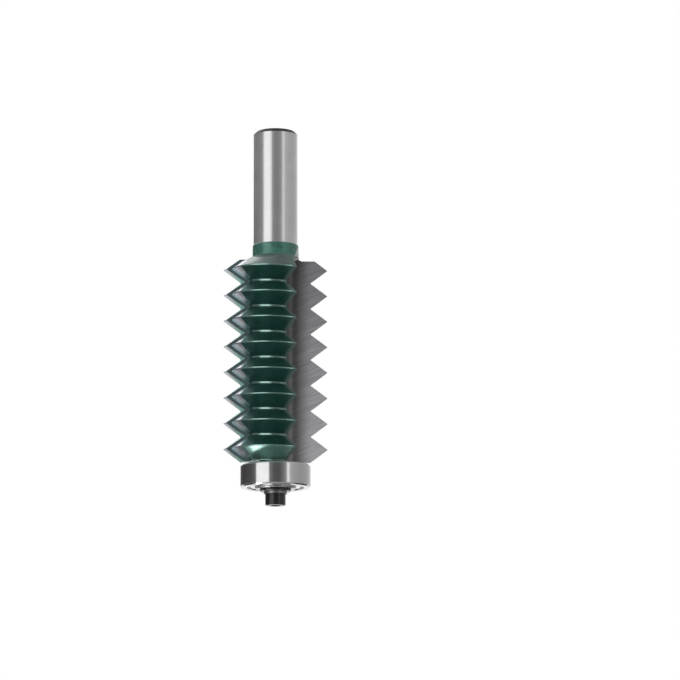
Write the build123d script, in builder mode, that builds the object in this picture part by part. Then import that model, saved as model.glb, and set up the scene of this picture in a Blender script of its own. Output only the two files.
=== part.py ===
from build123d import *
import math
import os

# Two-wing router bit with a row of V teeth and a ball-bearing guide. Sizes are in millimetres.
# The axis is Z with the shank up, and z = 0 is the lower end of the bare shank.
# The left wing lies along -X and faces +Y. The right wing is the same, turned half a turn.

# Shank and neck
shank_r = 6.0
shank_len = 31.6
shank_chamfer = 0.8
neck_step = 0.25
neck_len = 3.3
neck_chamfer = 0.2

# V teeth
wings = 2
tooth_count = 8
pitch = 7.0
shoulder_len = 3.6
tip_r = 14.0

# Relieved back: V profile turned about an axis that lies off the bit's own axis
back_axis = (-2.38, 2.5)
back_shallower = 0.5
crest_flat = 0.3
valley_flat = 0.5

# Land: flatter stretch between each carbide strip and the back, with its own offset axis
land_axis = (2.8, 1.35)
land_inset = 1.96
land_shallower = 0.43

# Gullet: flat rake face, straight wall and a round floor between them
gullet_angle = 49.0
gullet_start_r = 5.0
runout_steps = [(2.4, 1.2), (0.9, 2.2)]

# Carbide strips
carbide_thickness = 2.0
carbide_inner_r = 6.3
carbide_drop = 0.96
carbide_axis_y = 4.0
carbide_flat = 0.12
seat_runout = 0.9

# Guide bearing
bearing_bore_r = 3.0
bearing_r = 9.5
bearing_width = 6.0
bearing_gap = 0.8
bearing_chamfer = 0.35
inner_land_r = 5.45
land_gap = 2.05
ball_r = 1.75
ball_count = 7
ball_play = 0.02
race_extra = 0.05
recess_step = 0.2
recess_depth = 0.6
shield_thickness = 0.22
shield_play = 0.02
shield_gap = 0.18
shield_rise = 0.2

# Ball cage
cage_thickness = 0.28
cage_margin = 0.35
cage_play = 0.1
rivet_r = 0.3
rivet_end = 0.1
rivet_play = 0.02

# Pilot stub, spacer, washers and screw
boss_r = 4.4
stub_play = 0.01
stub_past_bearing = 0.2
thread_r = 1.5
thread_play = 0.02
hole_depth = 9.0
spacer_play = 0.05
spacer_thickness = 0.4
washer_r = 4.25
washer_play = 0.1
washer_thickness = 0.6
washer_edge = 0.12
lock_r = 3.1
lock_thickness = 0.7
lock_split = 0.45
lock_split_tilt = 30.0
head_r = 2.75
head_height = 3.1
head_round = 0.3
socket_flats = 2.5
socket_depth = 1.5
screw_len = 8.0

# Heights along the axis
first_tip_z = -neck_len - shoulder_len
last_tip_z = first_tip_z - (tooth_count - 1) * pitch
body_bottom_z = last_tip_z - pitch / 2
carbide_top_z = -neck_len - carbide_drop
bearing_top_z = body_bottom_z - bearing_gap
bearing_mid_z = bearing_top_z - bearing_width / 2
bearing_bottom_z = bearing_top_z - bearing_width
spacer_bottom_z = bearing_bottom_z - spacer_thickness
washer_bottom_z = spacer_bottom_z - washer_thickness
lock_bottom_z = washer_bottom_z - lock_thickness
stub_bottom_z = bearing_bottom_z - stub_past_bearing

# Radii that follow from the sizes above. The valleys between the teeth are level with the bearing.
neck_r = shank_r + neck_step
root_r = bearing_r
tooth_depth = tip_r - root_r
back_crest_r = math.hypot(tip_r + back_axis[0], back_axis[1])
back_depth = tooth_depth - back_shallower
land_crest_r = math.hypot(tip_r - land_inset + land_axis[0], land_axis[1])
land_depth = tooth_depth - land_shallower
outer_land_r = inner_land_r + land_gap
recess_r = outer_land_r + recess_step
ball_path_r = inner_land_r + land_gap / 2
spacer_bore_r = bearing_bore_r + spacer_play
washer_bore_r = thread_r + washer_play


def ridge_points(crest_r, depth, top_flat, root_flat):
    """Outline of the V teeth from the first crest to the foot of the last, as radius and height."""
    points = []
    for tooth in range(tooth_count):
        crest_z = first_tip_z - tooth * pitch
        valley_z = crest_z - pitch / 2
        points += [(crest_r, crest_z + top_flat / 2), (crest_r, crest_z - top_flat / 2)]
        points += [(crest_r - depth, valley_z + root_flat / 2)]
        if tooth < tooth_count - 1:
            points += [(crest_r - depth, valley_z - root_flat / 2)]
    return points + [(crest_r - depth, body_bottom_z)]


# One wing: the half of the body on the -Y side, with its shoulder, relieved back and land.
back_top_z = first_tip_z + crest_flat / 2
land_top_z = first_tip_z + pitch / 2
land_root_r = land_crest_r - land_depth

back_plane = Plane((*back_axis, 0), x_dir=(1, 0, 0), z_dir=(0, -1, 0))
land_plane = Plane((*land_axis, 0), x_dir=(1, 0, 0), z_dir=(0, -1, 0))

with BuildPart() as wing:
    with BuildSketch(back_plane):
        with BuildLine():
            outline = ridge_points(back_crest_r, back_depth, crest_flat, valley_flat)
            Polyline((0, back_top_z), *outline, (0, body_bottom_z), close=True)
        make_face()
    revolve(axis=Axis((back_axis[0], back_axis[1], 0), (0, 0, 1)))
    with BuildSketch(Plane.XY.offset(back_top_z)):
        with Locations(back_axis):
            Circle(back_crest_r)
    with BuildSketch(Plane.XY.offset(-neck_len)):
        Circle(neck_r)
    loft(ruled=True)
    with BuildSketch(land_plane):
        with BuildLine():
            outline = ridge_points(land_crest_r, land_depth, crest_flat, valley_flat)
            top = [(0, 0), (land_root_r, 0), (land_root_r, land_top_z)]
            Polyline(*top, *outline, (0, body_bottom_z), close=True)
        make_face()
    revolve(axis=Axis((land_axis[0], land_axis[1], 0), (0, 0, 1)), mode=Mode.INTERSECT)
    split(bisect_by=Plane.XZ, keep=Keep.TOP)

# Shape of one gullet, on the right: it runs the whole height and fades out through the neck.
half_angle = math.radians(gullet_angle / 2)
floor_r = gullet_start_r * math.tan(half_angle)
core_r = gullet_start_r / math.cos(half_angle) - floor_r
gullet_reach = tip_r + pitch

with BuildPart() as gullet:
    with BuildSketch(Plane.XY.offset(body_bottom_z - bearing_gap)):
        with BuildLine():
            wall_end = (
                gullet_reach * math.cos(2 * half_angle),
                -gullet_reach * math.sin(2 * half_angle),
            )
            wall_start = (
                gullet_start_r * math.cos(2 * half_angle),
                -gullet_start_r * math.sin(2 * half_angle),
            )
            floor_mid = (core_r * math.cos(half_angle), -core_r * math.sin(half_angle))
            corner = (gullet_reach, -gullet_reach)
            Polyline((gullet_start_r, 0), (gullet_reach, 0), corner, wall_end, wall_start)
            ThreePointArc(wall_start, floor_mid, (gullet_start_r, 0))
        make_face()
    extrude(amount=carbide_top_z - body_bottom_z + bearing_gap)
    for step_out, step_up in runout_steps:
        top_face = gullet.faces().sort_by(Axis.Z)[-1]
        extrude(top_face, amount=math.hypot(step_out, step_up), dir=(step_out, 0, step_up))

# Cutter body: shank, neck, both wings, and the stub that carries the bearing, all one piece.
pocket_depth = tip_r + bearing_gap - carbide_inner_r
pocket_top_z = carbide_top_z + seat_runout
pocket_height = pocket_top_z - body_bottom_z + bearing_gap

with BuildPart() as cutter_body:
    with PolarLocations(0, wings):
        add(wing.part)
    with BuildSketch(Plane.XZ):
        with BuildLine():
            Polyline(
                (0, shank_len),
                (shank_r - shank_chamfer, shank_len),
                (shank_r, shank_len - shank_chamfer),
                (shank_r, 0),
                (neck_r - neck_chamfer, 0),
                (neck_r, -neck_chamfer),
                (neck_r, -neck_len),
                (0, -neck_len),
                close=True,
            )
        make_face()
    revolve(axis=Axis.Z)
    with PolarLocations(0, wings):
        add(gullet.part, mode=Mode.SUBTRACT)
    with PolarLocations(carbide_inner_r, wings, start_angle=180):
        with Locations((0, 0, pocket_top_z)):
            Box(
                pocket_depth,
                carbide_thickness,
                pocket_height,
                align=(Align.MIN, Align.MIN, Align.MAX),
                mode=Mode.SUBTRACT,
            )
    with Locations((0, 0, bearing_top_z)):
        Cylinder(boss_r, bearing_gap, align=(Align.CENTER, Align.CENTER, Align.MIN))
    with Locations((0, 0, stub_bottom_z)):
        Cylinder(
            bearing_bore_r - stub_play,
            bearing_top_z - stub_bottom_z,
            align=(Align.CENTER, Align.CENTER, Align.MIN),
        )
        Cylinder(
            thread_r + thread_play,
            hole_depth,
            align=(Align.CENTER, Align.CENTER, Align.MIN),
            mode=Mode.SUBTRACT,
        )
cutter_body.part.label = "cutter_body"
export_step(cutter_body.part, "parts/cutter_body.step")

# Carbide strips, ground to the V profile with relief behind the edge.
carbide_crest_r = math.hypot(tip_r, carbide_axis_y)
carbide_root_r = math.hypot(root_r, carbide_axis_y)
carbide_depth = carbide_crest_r - carbide_root_r
carbide_plane = Plane((0, carbide_axis_y, 0), x_dir=(1, 0, 0), z_dir=(0, -1, 0))

with BuildPart() as carbide_tip_1:
    with BuildSketch(carbide_plane):
        with BuildLine():
            outline = ridge_points(carbide_crest_r, carbide_depth, carbide_flat, carbide_flat)
            top = [(0, land_top_z), (carbide_root_r, land_top_z)]
            Polyline(*top, *outline, (0, body_bottom_z), close=True)
        make_face()
    revolve(axis=Axis((0, carbide_axis_y, 0), (0, 0, 1)))
    with Locations((-carbide_inner_r, 0, carbide_top_z)):
        Box(
            pocket_depth,
            carbide_thickness,
            carbide_top_z - body_bottom_z,
            align=(Align.MAX, Align.MAX, Align.MAX),
            mode=Mode.INTERSECT,
        )
carbide_tip_1.part.label = "carbide_tip_1"
export_step(carbide_tip_1.part, "parts/carbide_tip_1.step")

with BuildPart() as carbide_tip_2:
    with Locations(Rotation(0, 0, 180)):
        add(carbide_tip_1.part)
carbide_tip_2.part.label = "carbide_tip_2"
export_step(carbide_tip_2.part, "parts/carbide_tip_2.step")

# Bearing rings, each with a ball groove. The outer one has a recess for a shield at both faces.
half_width = bearing_width / 2
race_r = ball_r + race_extra
bearing_plane = Plane((0, 0, bearing_mid_z), x_dir=(1, 0, 0), z_dir=(0, -1, 0))

with BuildPart() as bearing_inner_ring:
    with BuildSketch(bearing_plane):
        with BuildLine():
            Polyline(
                (bearing_bore_r, bearing_chamfer - half_width),
                (bearing_bore_r + bearing_chamfer, -half_width),
                (inner_land_r, -half_width),
                (inner_land_r, half_width),
                (bearing_bore_r + bearing_chamfer, half_width),
                (bearing_bore_r, half_width - bearing_chamfer),
                close=True,
            )
        make_face()
        with Locations((ball_path_r + race_extra - ball_play, 0)):
            Circle(race_r, mode=Mode.SUBTRACT)
    revolve(axis=Axis.Z)
bearing_inner_ring.part.label = "bearing_inner_ring"
export_step(bearing_inner_ring.part, "parts/bearing_inner_ring.step")

with BuildPart() as bearing_outer_ring:
    with BuildSketch(bearing_plane):
        with BuildLine():
            Polyline(
                (outer_land_r, recess_depth - half_width),
                (recess_r, recess_depth - half_width),
                (recess_r, -half_width),
                (bearing_r - bearing_chamfer, -half_width),
                (bearing_r, bearing_chamfer - half_width),
                (bearing_r, half_width - bearing_chamfer),
                (bearing_r - bearing_chamfer, half_width),
                (recess_r, half_width),
                (recess_r, half_width - recess_depth),
                (outer_land_r, half_width - recess_depth),
                close=True,
            )
        make_face()
        with Locations((ball_path_r - race_extra + ball_play, 0)):
            Circle(race_r, mode=Mode.SUBTRACT)
    revolve(axis=Axis.Z)
bearing_outer_ring.part.label = "bearing_outer_ring"
export_step(bearing_outer_ring.part, "parts/bearing_outer_ring.step")

# Shields: thin dished rings that sit on the outer ring's recess steps, clear of the inner ring.
shield_inner_r = inner_land_r + shield_gap
shield_outer_r = recess_r - shield_play
shield_low = half_width - recess_depth
dish_start_r = shield_inner_r + (shield_outer_r - shield_inner_r) / 2
dish_end_r = dish_start_r + shield_rise
shield_outline = [
    (shield_outer_r, shield_low),
    (shield_outer_r, shield_low + shield_thickness),
    (dish_end_r, shield_low + shield_thickness),
    (dish_start_r, shield_low + shield_thickness + shield_rise),
    (shield_inner_r, shield_low + shield_thickness + shield_rise),
    (shield_inner_r, shield_low + shield_rise),
    (dish_start_r, shield_low + shield_rise),
    (dish_end_r, shield_low),
]
for side, name in ((1, "shield_upper"), (-1, "shield_lower")):
    with BuildPart() as shield:
        with BuildSketch(bearing_plane):
            with BuildLine():
                Polyline(*[(r, side * height) for r, height in shield_outline], close=True)
            make_face()
        revolve(axis=Axis.Z)
    shield.part.label = name
    export_step(shield.part, "parts/" + name + ".step")

# Balls
for number in range(ball_count):
    angle = math.radians(360 * number / ball_count)
    with BuildPart() as ball:
        with Locations(
            (ball_path_r * math.cos(angle), ball_path_r * math.sin(angle), bearing_mid_z)
        ):
            Sphere(ball_r)
    ball.part.label = "ball_" + str(number + 1)
    export_step(ball.part, "parts/ball_" + str(number + 1) + ".step")

# Cage: two pressed ribbons, bowed round each ball and riveted together between the balls.
cage_inner_r = inner_land_r + cage_margin
cage_outer_r = outer_land_r - cage_margin
cup_r = ball_r + cage_play
cup_length = 2 * (cage_outer_r - cage_inner_r)
ball_step = 360 / ball_count
for side, name in ((1, "cage_upper"), (-1, "cage_lower")):
    with BuildPart() as cage:
        with BuildSketch(Plane.XY.offset(bearing_mid_z)):
            Circle(cage_outer_r)
            Circle(cage_inner_r, mode=Mode.SUBTRACT)
        extrude(amount=side * cage_thickness)
        with Locations((0, 0, bearing_mid_z)):
            with PolarLocations(ball_path_r, ball_count):
                Cylinder(cup_r + cage_thickness, cup_length, rotation=(0, 90, 0))
        with BuildSketch(Plane.XY.offset(bearing_mid_z)):
            Circle(cage_outer_r)
            Circle(cage_inner_r, mode=Mode.SUBTRACT)
        extrude(amount=side * half_width, mode=Mode.INTERSECT)
        with Locations((0, 0, bearing_mid_z)):
            with PolarLocations(ball_path_r, ball_count):
                Cylinder(cup_r, cup_length, rotation=(0, 90, 0), mode=Mode.SUBTRACT)
            with PolarLocations(ball_path_r, ball_count, start_angle=ball_step / 2):
                Cylinder(rivet_r + rivet_play, bearing_width, mode=Mode.SUBTRACT)
    cage.part.label = name
    export_step(cage.part, "parts/" + name + ".step")

with BuildPart() as cage_rivets:
    with Locations((0, 0, bearing_mid_z)):
        with PolarLocations(ball_path_r, ball_count, start_angle=ball_step / 2):
            Cylinder(rivet_r, 2 * (cage_thickness + rivet_end))
cage_rivets.part.label = "cage_rivets"
export_step(cage_rivets.part, "parts/cage_rivets.step")

# Spacer between the inner ring and the washer, then the black washer.
for name, outer_r, bore_r, bottom_z, thickness in (
    ("spacer_ring", inner_land_r, spacer_bore_r, spacer_bottom_z, spacer_thickness),
    ("washer", washer_r, washer_bore_r, washer_bottom_z, washer_thickness),
):
    with BuildPart() as flat_ring:
        with BuildSketch(Plane.XY.offset(bottom_z)):
            Circle(outer_r)
            Circle(bore_r, mode=Mode.SUBTRACT)
        extrude(amount=thickness)
        outer_edges = flat_ring.edges().filter_by(GeomType.CIRCLE)
        chamfer(outer_edges.group_by(SortBy.RADIUS)[-1], washer_edge)
    flat_ring.part.label = name
    export_step(flat_ring.part, "parts/" + name + ".step")

# Lock washer: spring ring with a slanted split.
with BuildPart() as lock_washer:
    with BuildSketch(Plane.XY.offset(lock_bottom_z)):
        Circle(lock_r)
        Circle(washer_bore_r, mode=Mode.SUBTRACT)
    extrude(amount=lock_thickness)
    split_middle = (lock_r, 0, lock_bottom_z + lock_thickness / 2)
    with Locations(Location(split_middle, (lock_split_tilt, 0, 0))):
        Box(2 * lock_r, lock_split, 4 * lock_thickness, mode=Mode.SUBTRACT)
lock_washer.part.label = "lock_washer"
export_step(lock_washer.part, "parts/lock_washer.step")

# Socket cap screw that holds the stack.
with BuildPart() as cap_screw:
    with Locations((0, 0, lock_bottom_z)):
        Cylinder(head_r, head_height, align=(Align.CENTER, Align.CENTER, Align.MAX))
    fillet(cap_screw.edges().filter_by(GeomType.CIRCLE).sort_by(Axis.Z)[0], head_round)
    with Locations((0, 0, lock_bottom_z)):
        Cylinder(thread_r, screw_len, align=(Align.CENTER, Align.CENTER, Align.MIN))
    with BuildSketch(Plane.XY.offset(lock_bottom_z - head_height)):
        RegularPolygon(socket_flats / 2, 6, major_radius=False)
    extrude(amount=socket_depth, mode=Mode.SUBTRACT)
cap_screw.part.label = "cap_screw"
export_step(cap_screw.part, "parts/cap_screw.step")
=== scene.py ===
import math

import bpy
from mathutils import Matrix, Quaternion, Vector


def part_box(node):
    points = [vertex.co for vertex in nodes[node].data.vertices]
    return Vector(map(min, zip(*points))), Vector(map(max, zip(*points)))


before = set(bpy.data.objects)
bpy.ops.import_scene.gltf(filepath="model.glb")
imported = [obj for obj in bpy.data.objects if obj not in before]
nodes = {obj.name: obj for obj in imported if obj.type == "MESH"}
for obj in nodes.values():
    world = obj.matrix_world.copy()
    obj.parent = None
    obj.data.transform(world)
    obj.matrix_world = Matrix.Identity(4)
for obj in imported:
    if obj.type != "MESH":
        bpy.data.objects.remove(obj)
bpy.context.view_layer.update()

MM = 0.001


def rgb(red, green, blue):
    return (red, green, blue, 1.0)


def grey(value):
    return rgb(value, value, value)


# Camera: lower than the bit's middle and looking a little up, as in the photograph. Its place and
# clipping are in metres.
CAMERA_TURN = math.radians(1.5)
CAMERA_AWAY = 0.8761
CAMERA_HEIGHT = -0.1809
CAMERA_HEADING = math.radians(2.64)
CAMERA_PITCH = math.radians(10.028)
CAMERA_ROLL = math.radians(-0.185)
CAMERA_LENS_MM = 174.3
SENSOR_WIDTH_MM = 36.0
CLIP_NEAR = 0.05
CLIP_FAR = 20.0

# The bit's measures, as its source has them, in millimetres from the lower end of the bare shank
TIP_R = 14.0
TOOTH_PITCH = 7.0
TOOTH_DEPTH = 4.5
FIRST_TIP_Z = -6.9
LAST_TIP_Z = -55.9
CUT_BOTTOM_Z = -59.4
SHANK_CHAMFER = 0.8
SHOULDER_TOP_Z = -3.3
STRIP_TOP_Z = -4.26
STRIP_THICKNESS = 2.0
GULLET_ANGLE = math.radians(49.0)
GULLET_FLOOR_START = 5.0
GULLET_FLOOR_R = GULLET_FLOOR_START * math.tan(GULLET_ANGLE / 2)
# Heights at which the fading gullet starts, bends and ends, with how far out it has moved there
GULLET_RUNOUT = ((STRIP_TOP_Z, 0.0), (-3.06, 2.4), (-0.86, 3.3))
# Where the left land ends at a tooth's root and at its crest
LAND_END = ((-6.5, -4.2), (-9.56, -6.98))
# Middle of the near back's arc
BACK_CENTRE = (-2.38, 2.5)

# Colours and finishes that more than one material uses. A roughness goes up from its named value
# by its spread times a noise.
DARK_END = rgb(0.02, 0.032, 0.042)
SATIN_ROUGHNESS = 0.22
SATIN_SPREAD = 0.12
# Noise values between which a material goes from its darker to its lighter tone
TONE_RANGE = (0.3, 0.7)
# How many rays a softened edge and a rounded band take
EDGE_SAMPLES = 6
BAND_SAMPLES = 8
# Depth in millimetres of marks round the axis, grinding scratches, black oxide's and paint's grain
RING_DEPTH = 0.002
SCRATCH_DEPTH = 0.004
OXIDE_DEPTH = 0.01
PAINT_DEPTH = 0.02


def place_camera():
    data = bpy.data.cameras.new("camera")
    data.lens = CAMERA_LENS_MM
    data.sensor_width = SENSOR_WIDTH_MM
    data.clip_start = CLIP_NEAR
    data.clip_end = CLIP_FAR
    camera = bpy.data.objects.new("camera", data)
    bpy.context.scene.collection.objects.link(camera)
    camera.location = (
        -CAMERA_AWAY * math.sin(CAMERA_TURN),
        -CAMERA_AWAY * math.cos(CAMERA_TURN),
        CAMERA_HEIGHT,
    )
    forward = Vector(
        (
            math.sin(CAMERA_HEADING) * math.cos(CAMERA_PITCH),
            math.cos(CAMERA_HEADING) * math.cos(CAMERA_PITCH),
            math.sin(CAMERA_PITCH),
        )
    )
    level = forward.to_track_quat("-Z", "Y")
    camera.rotation_euler = (level @ Quaternion((0, 0, 1), CAMERA_ROLL)).to_euler()
    bpy.context.scene.camera = camera


class Graph:
    """A material's or world's node tree, with short ways to add and link nodes."""

    # Numbers of a Mix node's two inputs and of its output, by kind of data
    MIX_SOCKETS = {"RGBA": (6, 7, 2), "FLOAT": (2, 3, 0)}

    def __init__(self, tree):
        self.tree = tree
        self.tree.nodes.clear()

    def add(self, kind, values=None, **settings):
        """A new node, with its settings and with values for its inputs."""
        node = self.tree.nodes.new(kind)
        for name, value in settings.items():
            setattr(node, name, value)
        self.fill(node, values or {})
        return node

    def fill(self, node, values):
        """Feed inputs of a node, by name or number."""
        for socket, value in values.items():
            self.feed(node.inputs[socket], value)

    def feed(self, socket, value):
        """Link a socket or a node's first output to an input, or set the input to a constant."""
        if isinstance(value, bpy.types.NodeSocket):
            self.tree.links.new(value, socket)
        elif isinstance(value, bpy.types.Node):
            self.tree.links.new(value.outputs[0], socket)
        else:
            socket.default_value = value

    def math(self, operation, *values, clamp=False):
        node = self.add("ShaderNodeMath", operation=operation, use_clamp=clamp)
        for socket, value in zip(node.inputs, values):
            self.feed(socket, value)
        return node.outputs[0]

    def scaled(self, value, slope, start):
        """start + slope * value."""
        return self.math("ADD", start, self.math("MULTIPLY", value, slope))

    def weighed(self, first, second, share):
        """So large a share of the first value, and the rest of the second."""
        return self.math(
            "ADD", self.math("MULTIPLY", first, share), self.math("MULTIPLY", second, 1.0 - share)
        )

    def length(self, first, second):
        """Length of the slanting line over two sides that stand square."""
        squares = [self.math("MULTIPLY", side, side) for side in (first, second)]
        return self.math("SQRT", self.math("ADD", *squares))

    def mix(self, factor, first, second, kind="RGBA"):
        node = self.add("ShaderNodeMix", data_type=kind)
        first_input, second_input, result = self.MIX_SOCKETS[kind]
        self.fill(node, {0: factor, first_input: first, second_input: second})
        return node.outputs[result]

    def smooth(self, value, low, high):
        """0 below low, 1 above high, and a smooth step between."""
        node = self.add("ShaderNodeMapRange", interpolation_type="SMOOTHSTEP", clamp=True)
        self.fill(node, {"Value": value, "From Min": low, "From Max": high})
        return node.outputs["Result"]

    def step(self, value, reach):
        """0 below the first and 1 above the second of two distances in millimetres."""
        low, high = reach
        return self.smooth(value, low * MM, high * MM)

    def rest(self, value):
        """1 - value."""
        return self.math("SUBTRACT", 1.0, value)

    def noise(self, vector, scale, detail=4.0, roughness=0.55):
        values = {"Vector": vector, "Scale": scale, "Detail": detail, "Roughness": roughness}
        return self.add("ShaderNodeTexNoise", values).outputs["Fac"]

    def parts(self, vector):
        """The outputs X, Y and Z of a vector that is taken apart."""
        return self.add("ShaderNodeSeparateXYZ", {0: vector}).outputs

    def stretched(self, vector, per_metre, rotation):
        """A place turned by rotation, then counted in so many units a metre along each axis."""
        scale = tuple(1.0 / each for each in per_metre)
        values = {"Vector": vector, "Scale": scale, "Rotation": rotation}
        return self.add("ShaderNodeMapping", values, vector_type="TEXTURE").outputs["Vector"]


def new_material(name):
    """Material with nothing but its output, and the socket there that takes a surface."""
    material = bpy.data.materials.new(name)
    material.use_nodes = True
    graph = Graph(material.node_tree)
    output = graph.add("ShaderNodeOutputMaterial")
    return material, graph, output.inputs["Surface"]


def start_material(name):
    """Material with one shader, and the coordinates of the piece it is on."""
    material, graph, surface = new_material(name)
    shader = graph.add("ShaderNodeBsdfPrincipled")
    graph.feed(surface, shader)
    coordinates = graph.add("ShaderNodeTexCoord").outputs["Object"]
    return material, graph, shader, coordinates


def grain_normal(graph, height, depth, strength, edge_radius):
    """Normal of marks as deep as depth, on faces whose sharp edges are rounded by edge_radius, in
    shading only. Both are in millimetres."""
    marks = {"Height": height, "Distance": depth * MM, "Strength": strength}
    rounding = {"Radius": edge_radius * MM, "Normal": graph.add("ShaderNodeBump", marks)}
    return graph.add("ShaderNodeBevel", rounding, samples=EDGE_SAMPLES).outputs["Normal"]


def axis_distance(graph, coordinates):
    parts = graph.parts(coordinates)
    return graph.length(parts["X"], parts["Y"])


def turned_coordinates(graph, coordinates):
    """Distance from the bit's axis as X and height as Z, for marks that run round the axis."""
    distance = axis_distance(graph, coordinates)
    height = graph.parts(coordinates)["Z"]
    return graph.add("ShaderNodeCombineXYZ", {"X": distance, "Z": height}).outputs[0]


# Turned metal: its noise in units a metre, the spread of its roughness, and the share of the
# colour that its darkest tone keeps
METAL_CLOUD = 260.0
METAL_SPREAD = 0.05
WORN_SHARE = 0.88
# The dark end: how far below the chamfer it starts, and in what height it gets fully dark, both
# in millimetres
DARK_BELOW_CHAMFER = 0.25
DARK_FADE = 0.2
# Quarter of a turn, which draws the reflections out along the axis, across the marks
ACROSS_THE_MARKS = 0.25


def turned_metal(
    name,
    colour,
    roughness,
    mark=0.4,
    marks_per_m=9000.0,
    metallic=1.0,
    stretch=0.0,
    dark_from=None,
):
    """Metal with fine marks round the bit's axis, as left by a lathe or a cylindrical grinder.
    Stretch draws its reflections out along the axis. From the height dark_from upwards, in
    millimetres, the metal is dark."""
    material, graph, shader, coordinates = start_material(name)
    rings = graph.noise(turned_coordinates(graph, coordinates), marks_per_m)
    cloud = graph.noise(coordinates, METAL_CLOUD)
    tone = graph.weighed(rings, cloud, share=0.5)
    worn = rgb(*(part * WORN_SHARE for part in colour[:3]))
    shade = graph.mix(graph.smooth(tone, *TONE_RANGE), worn, colour)
    if dark_from is not None:
        height = graph.parts(coordinates)["Z"]
        darkened = graph.smooth(height, dark_from * MM, (dark_from + DARK_FADE) * MM)
        shade = graph.mix(darkened, shade, DARK_END)
    values = {
        "Base Color": shade,
        "Roughness": graph.scaled(cloud, METAL_SPREAD, roughness - METAL_SPREAD / 2),
        "Metallic": metallic,
        "Normal": grain_normal(graph, rings, RING_DEPTH, mark, edge_radius=0.12),
    }
    graph.fill(shader, values)
    if stretch:
        tangent = graph.add("ShaderNodeTangent", direction_type="RADIAL", axis="Z")
        shader.inputs["Anisotropic"].default_value = stretch
        shader.inputs["Anisotropic Rotation"].default_value = ACROSS_THE_MARKS
        graph.feed(shader.inputs["Tangent"], tangent)
    return material


# Ground rake faces: the slope of their marks, and the marks in units a metre along them, square to
# the face and across them
GRINDING_SLANT = math.radians(23.0)
SCRATCHES_PER_M = (220.0, 220.0, 5200.0)
STREAKS_PER_M = (80.0, 80.0, 1500.0)
SCRATCH_TONES = (0.36, 0.64)
BARE_ROUGHNESS = 0.41
BARE_SPREAD = 0.1
# Distances from the axis, in millimetres, at which the painted shade in the gullet's corner is
# darkest and at which it ends, and the shares of the colour that are left in it and at both ends of
# the cut: painted shade at the top, near the shank, and painted light at the lower end
PAINTED_SHADE_REACH = (4.4, 10.0)
PAINTED_SHADE_KEEPS = 0.3
TOP_PAINTED_SHADE_KEEPS = 0.77
BOTTOM_PAINTED_LIGHT_KEEPS = 1.8


def slanting_marks(graph, coordinates):
    """Straight grinding marks that rise outwards on both rake faces: their tone and height."""
    tilt = (0.0, -GRINDING_SLANT, 0.0)
    parts = graph.parts(coordinates)
    values = {"X": graph.math("ABSOLUTE", parts["X"]), "Z": parts["Z"]}
    place = graph.add("ShaderNodeCombineXYZ", values).outputs[0]
    scratches = graph.noise(
        graph.stretched(place, SCRATCHES_PER_M, tilt), 1.0, detail=5.0, roughness=0.6
    )
    streaks = graph.noise(graph.stretched(place, STREAKS_PER_M, tilt), 1.0, detail=2.0)
    return graph.weighed(scratches, streaks, share=0.55), scratches


def rake_painted_shade(graph, coordinates):
    """How much of its colour the ground rake face shows, as painted shade and light: less in the
    gullet's corner, which lies in shade, than at the teeth, less near the shank, and more than all
    of it at the lower end."""
    # Painted shade, darker towards the gullet's corner and towards the shank, and painted light at the
    # lower end
    unshaded = graph.step(axis_distance(graph, coordinates), PAINTED_SHADE_REACH)
    share = graph.scaled(unshaded, 1.0 - PAINTED_SHADE_KEEPS, PAINTED_SHADE_KEEPS)
    height = graph.parts(coordinates)["Z"]
    lower = graph.math("DIVIDE", height, CUT_BOTTOM_Z * MM, clamp=True)
    painted_light_by_height = graph.scaled(lower, BOTTOM_PAINTED_LIGHT_KEEPS - TOP_PAINTED_SHADE_KEEPS, TOP_PAINTED_SHADE_KEEPS)
    return graph.math("MULTIPLY", share, painted_light_by_height)


def ground_rake(graph, coordinates, darker, lighter):
    """Colour, roughness and height of the slanting marks of a ground rake face."""
    tone, scratches = slanting_marks(graph, coordinates)
    colour = graph.mix(graph.smooth(tone, *SCRATCH_TONES), darker, lighter)
    values = {0: colour, "Scale": rake_painted_shade(graph, coordinates)}
    dimmed = graph.add("ShaderNodeVectorMath", values, operation="SCALE").outputs[0]
    rough = graph.scaled(tone, BARE_SPREAD, BARE_ROUGHNESS)
    return dimmed, rough, scratches


def gullet_ground():
    """Bare ground steel of the rake face and the gullet."""
    material, graph, shader, coordinates = start_material("gullet_ground")
    colour, rough, scratches = ground_rake(graph, coordinates, grey(0.40), grey(0.55))
    values = {
        "Base Color": colour,
        "Roughness": rough,
        "Metallic": 1.0,
        "Normal": grain_normal(graph, scratches, SCRATCH_DEPTH, strength=0.6, edge_radius=0.05),
    }
    graph.fill(shader, values)
    return material


def edge_inset(graph, coordinates):
    """How far a point of a carbide strip lies inside its toothed edge, measured square to the axis."""
    parts = graph.parts(coordinates)
    below_tip = graph.math("ABSOLUTE", graph.math("SUBTRACT", parts["Z"], FIRST_TIP_Z * MM))
    from_tip = graph.math("PINGPONG", below_tip, TOOTH_PITCH / 2 * MM)
    edge = graph.scaled(from_tip, -TOOTH_DEPTH / (TOOTH_PITCH / 2), TIP_R * MM)
    return graph.math("SUBTRACT", edge, graph.math("ABSOLUTE", parts["X"]))


# The carbide strip: its noise in units a metre, the relief's roughness, and the depths behind the
# rake face, in millimetres, at which the relief and the back face start
STRIP_CLOUD = 700.0
RELIEF_ROUGHNESS = 0.27
RELIEF_START = (0.0, 0.2)
STRIP_BACK = (STRIP_THICKNESS - 0.1, STRIP_THICKNESS - 0.02)
# The paint on it, in millimetres: the depths at which it starts, the distances from the axis
# between which it ends, how ragged that end is, and its width along the back face's toothed edge
STRIP_PAINT_START = (0.1, 0.5)
STRIP_PAINT_REACH = (10.2, 12.2)
STRIP_PAINT_RAGGED = 1.2
STRIP_PAINT_WIDTH = (0.45, 0.75)
STRIP_PAINT_METALLIC = 0.35


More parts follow.
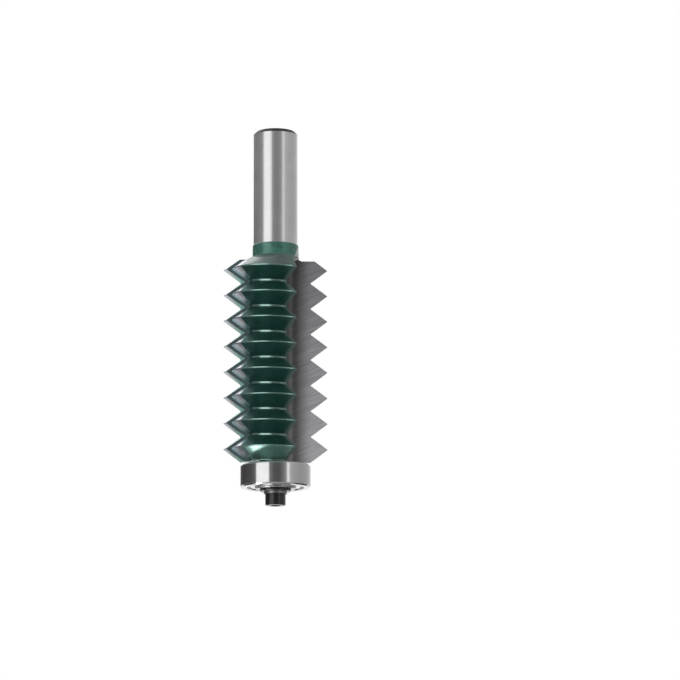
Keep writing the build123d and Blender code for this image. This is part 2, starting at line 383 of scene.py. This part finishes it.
def carbide():
    """Ground carbide with slanting marks on the rake face and a darker, greenish back face, partly
    painted shade along the step behind the strip. Green paint has run onto the relief near the
    roots, and onto the back face along its edge there, and is made pale there, partly a painted
    highlight. The tips are bare."""
    material, graph, shader, coordinates = start_material("carbide")
    rake, rake_rough, scratches = ground_rake(
        graph, coordinates, rgb(0.44, 0.44, 0.46), rgb(0.60, 0.60, 0.63)
    )
    behind = graph.math("ABSOLUTE", graph.parts(coordinates)["Y"])
    relief = graph.step(behind, RELIEF_START)
    back = graph.step(behind, STRIP_BACK)
    bare = graph.mix(relief, rake, rgb(0.58, 0.62, 0.66))
    # Darker, greenish back face: partly painted shade along the step behind the strip
    bare = graph.mix(back, bare, rgb(0.34, 0.48, 0.49))

    cloud = graph.noise(coordinates, STRIP_CLOUD)
    ragged = graph.math("MULTIPLY", graph.math("SUBTRACT", cloud, 0.5), STRIP_PAINT_RAGGED * MM)
    outwards = graph.math("ADD", axis_distance(graph, coordinates), ragged)
    near_root = graph.rest(graph.step(outwards, STRIP_PAINT_REACH))
    at_edge = graph.rest(graph.step(edge_inset(graph, coordinates), STRIP_PAINT_WIDTH))
    reach = graph.mix(back, near_root, graph.math("MULTIPLY", near_root, at_edge), "FLOAT")
    cover = graph.math("MULTIPLY", graph.step(behind, STRIP_PAINT_START), reach)
    # Real paint made pale: partly a painted highlight at the roots and along the back face's edge
    paint = graph.mix(graph.smooth(cloud, *TONE_RANGE), rgb(0.36, 0.68, 0.60), rgb(0.46, 0.78, 0.70))

    values = {
        "Base Color": graph.mix(cover, bare, paint),
        "Roughness": graph.mix(relief, rake_rough, RELIEF_ROUGHNESS, "FLOAT"),
        "Metallic": graph.mix(cover, 1.0, STRIP_PAINT_METALLIC, "FLOAT"),
        "Normal": grain_normal(graph, scratches, SCRATCH_DEPTH, strength=0.6, edge_radius=0.06),
    }
    graph.fill(shader, values)
    shader.inputs["Coat Weight"].default_value = 0.2
    shader.inputs["Coat Roughness"].default_value = 0.2
    return material


# The land: its noise and marks in units a metre, and the distances from the axis, in millimetres,
# between which it goes from painted to bare
LAND_CLOUD = 500.0
LAND_MARKS_PER_M = 6000.0
LAND_BARE = (7.9, 10.4)


def land_ground():
    """Land behind the carbide, ground round after painting: bright at the tips, and still green
    with thin paint at the roots."""
    material, graph, shader, coordinates = start_material("land_ground")
    cloud = graph.noise(coordinates, LAND_CLOUD)
    rings = graph.noise(turned_coordinates(graph, coordinates), LAND_MARKS_PER_M, detail=3.0)
    steel = graph.mix(graph.smooth(cloud, *TONE_RANGE), rgb(0.60, 0.63, 0.68), rgb(0.74, 0.76, 0.82))
    bare = graph.step(axis_distance(graph, coordinates), LAND_BARE)
    values = {
        "Base Color": graph.mix(bare, rgb(0.05, 0.11, 0.10), steel),
        "Roughness": graph.scaled(cloud, SATIN_SPREAD, SATIN_ROUGHNESS),
        "Metallic": 1.0,
        "Normal": grain_normal(graph, rings, RING_DEPTH, strength=0.5, edge_radius=0.08),
    }
    graph.fill(shader, values)
    return material


# Black oxide: its noise in units a metre, and the noise values of its darker and lighter tone
OXIDE_CLOUD = 900.0
OXIDE_TONES = (0.35, 0.7)


def black_oxide():
    material, graph, shader, coordinates = start_material("black_oxide")
    cloud = graph.noise(coordinates, OXIDE_CLOUD)
    tone = graph.smooth(cloud, *OXIDE_TONES)
    values = {
        "Base Color": graph.mix(tone, rgb(0.012, 0.012, 0.014), rgb(0.03, 0.03, 0.032)),
        "Roughness": graph.scaled(cloud, SATIN_SPREAD, SATIN_ROUGHNESS),
        "Metallic": 0.4,
        "Normal": grain_normal(graph, cloud, OXIDE_DEPTH, strength=0.5, edge_radius=0.12),
    }
    graph.fill(shader, values)
    shader.inputs["Coat Weight"].default_value = 0.6
    shader.inputs["Coat Roughness"].default_value = 0.2
    return material


# Green paint: its noise and marks in units a metre, and the spread of its roughness
PAINT_CLOUD = 420.0
PAINT_MARKS_PER_M = 2600.0
PAINT_SPREAD = 0.12
# Pale, shiny bands in the valleys and along the crests, a painted highlight where these upright
# surfaces mirror the lamps: their rounding in millimetres, and the slants of the surface between
# which they end
HIGHLIGHT_BAND_COLOUR = rgb(0.34, 0.56, 0.50)
HIGHLIGHT_BAND_METALLIC = 0.95
HIGHLIGHT_BAND_COAT = 1.0
BAND_ROUNDING = 0.3
BAND_SLANTS = (0.12, 0.62)
# Duller paint along the gullet's edge: its share of the colour there, and the distances from the
# edge, in millimetres, between which it ends
EDGE_COLOUR = rgb(0.15, 0.24, 0.21)
EDGE_ROUGHNESS = 0.42
EDGE_SHARE = 0.9
EDGE_REACH = (0.6, 1.7)
# Distance from the axis of the photographed back, as a share of the modelled back's own radius,
# and the steepest sine that its shading goes to
BACK_SHARE = 0.965
STEEPEST_SINE = 0.96


def near_wing_place(graph, coordinates):
    """X and Y on the near wing's back. The far wing's points are turned onto it by half a turn."""
    parts = graph.parts(coordinates)
    side = graph.math("MULTIPLY", graph.math("SIGN", parts["Y"]), -1.0)
    return graph.math("MULTIPLY", parts["X"], side), graph.math("MULTIPLY", parts["Y"], side)


def trued_normal(graph, coordinates, normal):
    """Normal of the painted back, turned about the axis to that of a back that runs nearly true
    with it. The source's back falls away more from the cutting edge than the photographed one
    seems to, and this puts the highlights where the photograph has them. No face moves."""
    x, y = near_wing_place(graph, coordinates)
    across = graph.math("SUBTRACT", x, BACK_CENTRE[0] * MM)
    ahead = graph.math("SUBTRACT", BACK_CENTRE[1] * MM, y)
    here = graph.math("ARCTAN2", across, ahead)
    true_radius = graph.math("MULTIPLY", graph.length(across, ahead), BACK_SHARE)
    sine = graph.math("MAXIMUM", graph.math("DIVIDE", x, true_radius), -STEEPEST_SINE)
    true = graph.math("ARCSINE", graph.math("MINIMUM", sine, STEEPEST_SINE))
    values = {"Vector": normal, "Angle": graph.math("SUBTRACT", true, here)}
    return graph.add("ShaderNodeVectorRotate", values, rotation_type="Z_AXIS").outputs[0]


def gullet_edge(graph, coordinates):
    """1 along the edge between the painted back and the gullet, 0 away from it."""
    x, y = near_wing_place(graph, coordinates)
    inwards = graph.math(
        "ADD",
        graph.math("MULTIPLY", x, -math.sin(GULLET_ANGLE)),
        graph.math("MULTIPLY", y, -math.cos(GULLET_ANGLE)),
    )
    return graph.rest(graph.step(inwards, EDGE_REACH))


def upright_highlight_band(graph):
    """1 in the valleys and along the crests, where the rounded surface stands upright and takes the
    painted highlight, 0 on the slanting flanks."""
    rounding = {"Radius": BAND_ROUNDING * MM}
    rounded = graph.add("ShaderNodeBevel", rounding, samples=BAND_SAMPLES)
    slant = graph.math("ABSOLUTE", graph.parts(rounded.outputs[0])["Z"])
    return graph.rest(graph.smooth(slant, *BAND_SLANTS))


def green_paint(name, darker, lighter, roughness, mottle, metallic, coat, banded):
    """Green paint under a clear coat. Where it is banded, it is pale and shiny in the valleys and
    along the crests, a painted highlight, and duller along the gullet's edge, and its shading is
    that of a truer back."""
    material, graph, shader, coordinates = start_material(name)
    cloud = graph.noise(coordinates, PAINT_CLOUD)
    rings = graph.noise(turned_coordinates(graph, coordinates), PAINT_MARKS_PER_M, detail=2.0)
    tone = graph.weighed(cloud, rings, share=0.6)
    colour = graph.mix(graph.smooth(tone, *TONE_RANGE), darker, lighter)
    rough = graph.scaled(tone, PAINT_SPREAD, roughness)
    shader.inputs["Metallic"].default_value = metallic
    shader.inputs["Coat Weight"].default_value = coat
    shader.inputs["Coat Roughness"].default_value = 0.12
    normal = grain_normal(graph, tone, PAINT_DEPTH, mottle, edge_radius=0.25)
    if banded:
        edge = gullet_edge(graph, coordinates)
        dull = graph.math("MULTIPLY", edge, EDGE_SHARE)
        colour = graph.mix(dull, colour, EDGE_COLOUR)
        rough = graph.mix(edge, rough, EDGE_ROUGHNESS, "FLOAT")
        # Painted highlight: pale, metallic, fully coated paint where the rounded valleys and crests
        # stand upright
        highlight_band = graph.math("MULTIPLY", upright_highlight_band(graph), graph.rest(dull))
        colour = graph.mix(highlight_band, colour, HIGHLIGHT_BAND_COLOUR)
        graph.feed(shader.inputs["Metallic"], graph.mix(highlight_band, metallic, HIGHLIGHT_BAND_METALLIC, "FLOAT"))
        graph.feed(shader.inputs["Coat Weight"], graph.mix(highlight_band, coat, HIGHLIGHT_BAND_COAT, "FLOAT"))
        normal = trued_normal(graph, coordinates, normal)
    values = {"Base Color": colour, "Roughness": rough, "Normal": normal, "Coat Normal": normal}
    graph.fill(shader, values)
    return material


# How near the middle of a face has to lie to a surface, in millimetres, to count as part of it
WALL_SLACK = 0.09
POCKET_SLACK = 0.1
EDGE_SLACK = 0.05
FLAT_SLACK = 0.02
# The right-hand gullet: its least X, where its straight walls start, and its round floor's reach
GULLET_MIN_X = 2.0
WALL_START = GULLET_FLOOR_START - 0.2
FLOOR_REACH = GULLET_FLOOR_START + 0.3
# Height of the strip pocket's run-out, its least X to either side, and how far above or below a
# tip the region beside it starts
POCKET_RUNOUT = 1.0
POCKET_MIN_X = 5.0
TIP_MARGIN = 0.3
# How far a face's normal points down, at least, under the strip pockets' tops and under the
# lowest tooth
POCKET_TOP_FACING = -0.1
UNDERSIDE_FACING = -0.3


def gullet_shift(z):
    """How far out the fading gullet has moved at height z, in millimetres."""
    if z <= GULLET_RUNOUT[0][0]:
        return 0.0
    for (low, near), (high, far) in zip(GULLET_RUNOUT, GULLET_RUNOUT[1:]):
        if z <= high:
            return near + (far - near) * (z - low) / (high - low)
    return GULLET_RUNOUT[-1][1]


def in_gullet(x, y, z):
    """Whether a point of the body, in millimetres, lies on the right-hand gullet's ground walls."""
    x -= gullet_shift(z)
    if y > WALL_SLACK or x < GULLET_MIN_X:
        return False
    if abs(y) < WALL_SLACK and x > WALL_START:
        return True
    along = x * math.cos(GULLET_ANGLE) - y * math.sin(GULLET_ANGLE)
    across = x * math.sin(GULLET_ANGLE) + y * math.cos(GULLET_ANGLE)
    if abs(across) < WALL_SLACK and along > WALL_START:
        return True
    reach = math.hypot(x - GULLET_FLOOR_START, y + GULLET_FLOOR_R)
    return abs(reach - GULLET_FLOOR_R) < WALL_SLACK and math.hypot(x, y) < FLOOR_REACH


def on_land(x, y):
    """Whether a point behind the left carbide strip, in millimetres, lies on its land."""
    (root_x, root_y), (crest_x, crest_y) = LAND_END
    side = (crest_x - root_x) * (y - root_y) - (crest_y - root_y) * (x - root_x)
    return x < 0 and y < -STRIP_THICKNESS + EDGE_SLACK and side < 0


def in_runout(x, y, z, facing_up):
    """Whether a face belongs to the ends of the strip pockets and gullets above the strips."""
    if z < STRIP_TOP_Z - POCKET_SLACK:
        return False
    low_enough = z < STRIP_TOP_Z + POCKET_RUNOUT
    beside_strip = abs(x) > POCKET_MIN_X and abs(y) < STRIP_THICKNESS + POCKET_SLACK
    return (low_enough and beside_strip) or facing_up < POCKET_TOP_FACING


def body_region(x, y, z, facing_up, top, shelf):
    """Which of the body's regions a face belongs to, by the place of its middle in millimetres
    and by how far it faces up."""
    if z > top - SHANK_CHAMFER - EDGE_SLACK:
        return "end"
    if z > -FLAT_SLACK:
        return "shank"
    if z < shelf - FLAT_SLACK:
        return "stub"
    if in_runout(x, y, z, facing_up):
        return "runout"
    if in_gullet(x, y, z) or in_gullet(-x, -y, z):
        return "gullet"
    if z < SHOULDER_TOP_Z and (on_land(x, y) or on_land(-x, -y)):
        return "land"
    if z > SHOULDER_TOP_Z + EDGE_SLACK:
        return "neck"
    if z > FIRST_TIP_Z + TIP_MARGIN:
        return "cone"
    if z < LAST_TIP_Z - TIP_MARGIN and facing_up < UNDERSIDE_FACING:
        return "lowest"
    return "paint"


def body_materials(top):
    """The material of each of the body's regions."""
    return {
        "paint": green_paint(
            "green_paint",
            rgb(0.02, 0.085, 0.07),
            rgb(0.03, 0.115, 0.10),
            roughness=0.18,
            mottle=0.15,
            metallic=0.35,
            coat=0.3,
            banded=True,
        ),
        "neck": green_paint(
            "neck_paint",
            rgb(0.035, 0.145, 0.115),
            rgb(0.11, 0.34, 0.27),
            roughness=0.44,
            mottle=0.9,
            metallic=0.45,
            coat=0.7,
            banded=False,
        ),
        "cone": green_paint(
            "cone_paint",
            rgb(0.12, 0.18, 0.17),
            rgb(0.17, 0.23, 0.22),
            roughness=0.34,
            mottle=0.15,
            metallic=0.8,
            coat=0.5,
            banded=True,
        ),
        # Paler, shinier copy of the green paint: painted light on the lowest tooth's underside, which
        # faces the pale floor while the other teeth's undersides face the next tooth
        "lowest": green_paint(
            "lowest_paint_painted_light",
            rgb(0.20, 0.37, 0.33),
            rgb(0.28, 0.46, 0.41),
            roughness=0.24,
            mottle=0.3,
            metallic=0.75,
            coat=0.5,
            banded=True,
        ),
        # Pale, mostly matt steel on the pocket and gullet ends, which lie in shade: painted light that
        # shows them as a bright streak
        "runout": turned_metal(
            "runout_painted_light", rgb(0.88, 0.88, 0.90), roughness=0.35, metallic=0.25
        ),
        "shank": turned_metal(
            "shank_ground",
            grey(0.84),
            roughness=0.34,
            mark=0.2,
            marks_per_m=7000.0,
            stretch=0.85,
            dark_from=top - SHANK_CHAMFER - DARK_BELOW_CHAMFER,
        ),
        "end": turned_metal("shank_end_dark", DARK_END, roughness=0.4, metallic=0.6),
        "gullet": gullet_ground(),
        "land": land_ground(),
        "stub": turned_metal("stub_steel", grey(0.5), roughness=0.3),
    }


def dress_body():
    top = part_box("cutter_body")[1].z / MM
    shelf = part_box("carbide_tip_1")[0].z / MM
    materials = body_materials(top)
    regions = list(materials)
    data = nodes["cutter_body"].data
    data.materials.clear()
    for material in materials.values():
        data.materials.append(material)
    for face in data.polygons:
        x, y, z = (part / MM for part in face.center)
        face.material_index = regions.index(body_region(x, y, z, face.normal.z, top, shelf))


def dress(names, material):
    for name in names:
        data = nodes[name].data
        data.materials.clear()
        data.materials.append(material)


def dress_nodes():
    dress_body()
    rings = turned_metal(
        "bearing_polished", grey(0.74), roughness=0.13, mark=0.15, marks_per_m=16000.0
    )
    shields = turned_metal("shield_pressed", grey(0.86), roughness=0.14)
    cage = turned_metal("cage_pressed", grey(0.48), roughness=0.35)
    balls = turned_metal("ball_polished", grey(0.78), roughness=0.06, mark=0.05)
    spacer = turned_metal("spacer_turned", grey(0.62), roughness=0.24)
    spring = turned_metal("spring_steel", grey(0.34), roughness=0.34)
    dress(["carbide_tip_1", "carbide_tip_2"], carbide())
    dress(["bearing_inner_ring", "bearing_outer_ring"], rings)
    dress(["shield_upper", "shield_lower"], shields)
    dress(["cage_upper", "cage_lower", "cage_rivets"], cage)
    dress([name for name in nodes if name.startswith("ball_")], balls)
    dress(["spacer_ring"], spacer)
    dress(["lock_washer"], spring)
    dress(["washer", "cap_screw"], black_oxide())


# Stage: a pale floor well below the bit, a white surround, softboxes, and a studio room with two
# cards that only reflections see. Lengths are in metres, and levels are brightness.
WORLD_LEVEL = 0.35
FLOOR_Z = -0.46
FLOOR_HALF = 4.0
FLOOR_FADE = (0.35, 1.3)
# The bit's middle, which the softboxes face
TARGET = Vector((0.0, 0.0, -0.02))
# Softboxes: name, azimuth and elevation in degrees, width, height and distance in metres, level
SOFTBOXES = (
    ("softbox_left", -43.0, 4.0, 0.57, 0.8, 0.7, 1.03),
    ("rim_left", -152.0, 36.0, 0.5, 0.4, 0.8, 0.7),
    ("strip_right", 42.0, 4.0, 0.10, 0.8, 0.62, 0.6),
)
# A dark ring under the bit, and a small bright card beside and below it
DARK_CARD_RADII = (0.13, 0.40)
DARK_CARD_Z = -0.25
DARK_CARD_LEVEL = 0.035
DARK_CARD_SIDES = 48
LOW_CARD_PLACE = (-0.072, 0.045, -0.24)
LOW_CARD_HALF = 0.04
LOW_CARD_LEVEL = 7.0
# The room: its radius, the step of its mesh, its lowest edge and its opening at the back, in
# degrees, and the sines of height between which its belt fades into the rest
ROOM_R = 1.6
ROOM_STEP = 5
ROOM_LOWEST = -60
BACK_OPEN = 160.0
OPEN_TOP = 30.0
ROOM_FADE_UP = (math.sin(math.radians(19.0)), math.sin(math.radians(31.0)))
ROOM_FADE_DOWN = (math.sin(math.radians(4.0)), math.sin(math.radians(18.0)))
# Brightness of the belt that upright surfaces mirror, by azimuth in degrees, counted from the
# front (-Y) and positive towards the right (+X)
BELT_LEVELS = (
    (-160.0, 0.5),
    (-155.0, 0.10),
    (-125.0, 0.06),
    (-88.0, 0.09),
    (-66.0, 0.16),
    (-18.0, 0.20),
    (-6.0, 0.11),
    (10.0, 0.10),
    (24.0, 0.20),
    (37.0, 0.40),
    (50.0, 0.52),
    (60.0, 0.43),
    (90.0, 0.37),
    (125.0, 0.45),
    (160.0, 0.80),
)
# The same for the ceiling and the lower walls, above and below that belt
OUTER_LEVELS = (
    (-178.0, 0.80),
    (-135.0, 0.85),
    (-100.0, 0.70),
    (-70.0, 0.45),
    (-20.0, 0.40),
    (20.0, 0.38),
    (60.0, 0.45),
    (120.0, 0.50),
    (178.0, 0.60),
)


def stage_mesh(name, vertices, faces, material, only_reflected=False):
    data = bpy.data.meshes.new(name)
    data.from_pydata(vertices, [], faces)
    data.materials.append(material)
    item = bpy.data.objects.new(name, data)
    bpy.context.scene.collection.objects.link(item)
    if only_reflected:
        item.visible_camera = False
        item.visible_diffuse = False
        item.visible_transmission = False
        item.visible_shadow = False
    return item


def square(x, y, z, half):
    """Corners of a level square round a place."""
    return [
        (x - half, y - half, z),
        (x + half, y - half, z),
        (x + half, y + half, z),
        (x - half, y + half, z),
    ]


def round_place(azimuth, elevation, distance):
    """Place round the origin, with the azimuth counted from the camera and positive to its right."""
    angle = math.radians(azimuth) - CAMERA_TURN
    level = distance * math.cos(math.radians(elevation))
    return (
        level * math.sin(angle),
        -level * math.cos(angle),
        distance * math.sin(math.radians(elevation)),
    )


def glow_material(name):
    """Material that shows its own brightness whatever lights it, and the socket of its colour."""
    material, graph, surface = new_material(name)
    glow = graph.add("ShaderNodeEmission")
    graph.feed(surface, glow)
    return material, graph, glow.inputs["Color"]


def card_material(name, level):
    material, graph, colour = glow_material(name)
    graph.feed(colour, grey(level))
    return material


def azimuth_ramp(graph, share, levels):
    """Greys read from pairs of azimuth and level, at the share of a whole turn."""
    ramp = graph.add("ShaderNodeValToRGB", {"Fac": share})
    stops = ramp.color_ramp.elements
    while len(stops) > 1:
        stops.remove(stops[-1])
    for index, (azimuth, level) in enumerate(levels):
        at = azimuth / 360.0 + 0.5
        stop = stops[0] if index == 0 else stops.new(at)
        stop.position = at
        stop.color = grey(level)
    return ramp.outputs["Color"]


def room_material():
    material, graph, colour = glow_material("room")
    parts = graph.parts(graph.add("ShaderNodeTexCoord").outputs["Object"])
    turn = graph.math("ARCTAN2", parts["X"], graph.math("MULTIPLY", parts["Y"], -1.0))
    share = graph.math("ADD", graph.math("DIVIDE", turn, 2 * math.pi), 0.5)
    height = graph.math("DIVIDE", parts["Z"], ROOM_R)
    above = graph.smooth(height, *ROOM_FADE_UP)
    below = graph.smooth(graph.math("MULTIPLY", height, -1.0), *ROOM_FADE_DOWN)
    belt = azimuth_ramp(graph, share, BELT_LEVELS)
    outer = azimuth_ramp(graph, share, OUTER_LEVELS)
    graph.feed(colour, graph.mix(graph.math("MAXIMUM", above, below), belt, outer))
    return material


def make_room():
    """Walls and ceiling of the studio, which only reflections see, open towards the backdrop."""
    azimuths = range(-180, 180, ROOM_STEP)
    elevations = range(ROOM_LOWEST, 91, ROOM_STEP)
    points = [round_place(a, e, ROOM_R) for e in elevations for a in azimuths]
    faces = []
    across = len(azimuths)
    for row in range(len(elevations) - 1):
        for column in range(across):
            middle = abs(azimuths[column] + ROOM_STEP / 2)
            if middle > BACK_OPEN and elevations[row] < OPEN_TOP:
                continue
            beside = (column + 1) % across
            low = row * across
            high = low + across
            faces.append((low + column, low + beside, high + beside, high + column))
    stage_mesh("room", points, faces, room_material(), only_reflected=True)


def seen_directly(graph):
    """1 for what the camera, metal and glass see, 0 for what only lights matt surfaces."""
    path = graph.add("ShaderNodeLightPath").outputs
    seen = graph.math("MAXIMUM", path["Is Camera Ray"], path["Is Transmission Ray"])
    return graph.math("MAXIMUM", seen, path["Is Glossy Ray"])


def make_world():
    """Even studio light on matt surfaces, and a white backdrop for the camera and reflections."""
    world = bpy.data.worlds.new("world")
    bpy.context.scene.world = world
    world.use_nodes = True
    graph = Graph(world.node_tree)
    output = graph.add("ShaderNodeOutputWorld")
    studio = graph.add("ShaderNodeBackground", {"Color": grey(1.0), "Strength": WORLD_LEVEL})
    backdrop = graph.add("ShaderNodeBackground", {"Color": grey(1.0), "Strength": 1.0})
    mixed = graph.add("ShaderNodeMixShader", {0: seen_directly(graph), 1: studio, 2: backdrop})
    graph.feed(output.inputs["Surface"], mixed)


def floor_material():
    """Pale floor that turns into the white backdrop away from the bit."""
    material, graph, surface = new_material("floor_pale")
    pale = graph.add("ShaderNodeBsdfPrincipled", {"Base Color": grey(0.8), "Roughness": 0.9})
    pale.inputs["Specular IOR Level"].default_value = 0.1
    white = graph.add("ShaderNodeEmission", {"Color": grey(1.0)})
    place = graph.add("ShaderNodeTexCoord").outputs["Object"]
    far = graph.add("ShaderNodeVectorMath", {0: place}, operation="LENGTH").outputs["Value"]
    away = graph.math("MULTIPLY", graph.smooth(far, *FLOOR_FADE), seen_directly(graph))
    graph.feed(surface, graph.add("ShaderNodeMixShader", {0: away, 1: pale, 2: white}))
    return material


def make_floor():
    corners = square(0.0, 0.0, 0.0, FLOOR_HALF)
    floor = stage_mesh("floor", corners, [(0, 1, 2, 3)], floor_material())
    floor.location.z = FLOOR_Z


def make_dark_card():
    """Dark ring under the bit, which only its downward faces mirror."""
    count = DARK_CARD_SIDES
    turns = [2 * math.pi * k / count for k in range(count)]
    rims = [
        (radius * math.cos(turn), radius * math.sin(turn), DARK_CARD_Z)
        for radius in DARK_CARD_RADII
        for turn in turns
    ]
    faces = [(k, (k + 1) % count, count + (k + 1) % count, count + k) for k in range(count)]
    material = card_material("dark_card", DARK_CARD_LEVEL)
    stage_mesh("dark_card", rims, faces, material, only_reflected=True)


def make_low_card():
    """Small bright card below and left of the bit, which gives the lowest tooth's glossy underside
    its highlight and lights nothing."""
    corners = square(*LOW_CARD_PLACE, LOW_CARD_HALF)
    material = card_material("low_card", LOW_CARD_LEVEL)
    stage_mesh("low_card", corners, [(0, 1, 2, 3)], material, only_reflected=True)


def make_softbox(name, azimuth, elevation, width, height, distance, level):
    """Area lamp that faces the bit. Its azimuth counts from the camera, positive to its right, and
    its level is its own brightness, so that its mirror image shows at that value."""
    data = bpy.data.lights.new(name, "AREA")
    data.shape = "RECTANGLE"
    data.size = width
    data.size_y = height
    data.energy = level * math.pi * width * height
    light = bpy.data.objects.new(name, data)
    light.location = TARGET + Vector(round_place(azimuth, elevation, distance))
    aim = TARGET - light.location
    light.rotation_euler = aim.to_track_quat("-Z", "Y").to_euler()
    light.visible_camera = False
    bpy.context.scene.collection.objects.link(light)


def make_stage():
    make_world()
    make_floor()
    make_room()
    make_dark_card()
    make_low_card()
    for softbox in SOFTBOXES:
        make_softbox(*softbox)


place_camera()
dress_nodes()
make_stage()
bpy.context.scene.view_settings.view_transform = "Standard"
